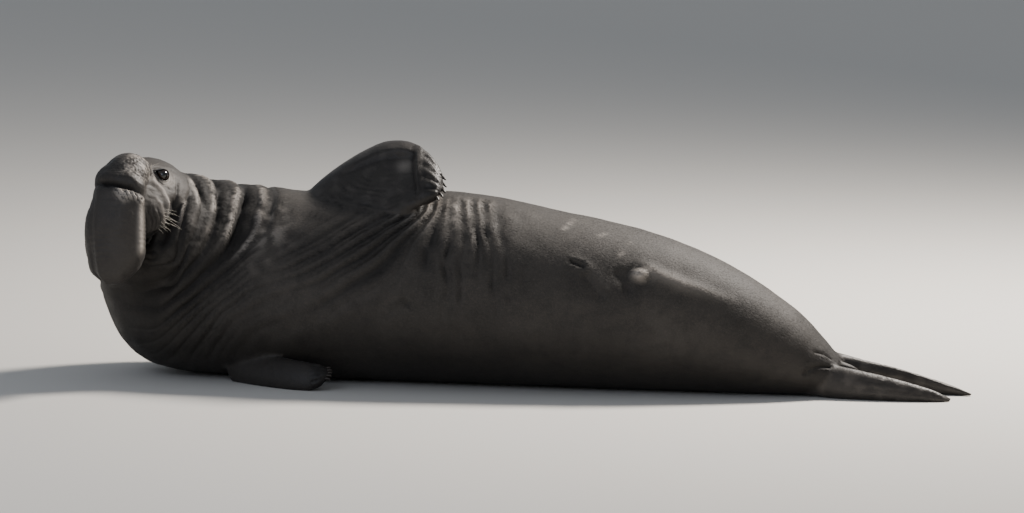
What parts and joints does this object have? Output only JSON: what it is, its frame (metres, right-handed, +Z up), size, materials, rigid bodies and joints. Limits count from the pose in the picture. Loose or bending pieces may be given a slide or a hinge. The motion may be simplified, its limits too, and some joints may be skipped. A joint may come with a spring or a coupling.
{
  "type": "elephant seal model",
  "caption": "Life-size still model of a bull elephant seal lying on its side, head turned, long nose hanging and one fore flipper raised.",
  "frame": {"origin": "on the floor under the middle of the body's box", "axes": "+X towards the hind flippers, -Y the side that the belly and the face are turned to, +Z up"},
  "size_m": [4.4179, 1.3958, 1.2016],
  "materials": {
    "fur": "very short grey-brown hair that lies flat over creased skin",
    "nose_skin": "grey-brown wrinkled skin with hardly any hair",
    "flipper_skin": "dark finely wrinkled skin with very short hair",
    "eye": "wet near-black eye",
    "claw": "worn dark horn"
  },
  "bodies": {
    "root": {"rump": "fur", "loin": "fur", "belly": "fur", "chest": "fur", "neck": "fur", "head": "fur", "lower_jaw": "fur", "nose": "nose_skin", "eye_left": "eye", "eye_right": "eye", "fore_flipper_left": "flipper_skin", "fore_flipper_right": "flipper_skin", "hind_flipper_left": "flipper_skin", "hind_flipper_right": "flipper_skin", "tail": "fur", "claw_left_1": "claw", "claw_left_2": "claw", "claw_left_3": "claw", "claw_left_4": "claw", "claw_left_5": "claw", "claw_right_1": "claw", "claw_right_2": "claw", "claw_right_3": "claw", "claw_right_4": "claw", "claw_right_5": "claw"}
  },
  "joints": []
}
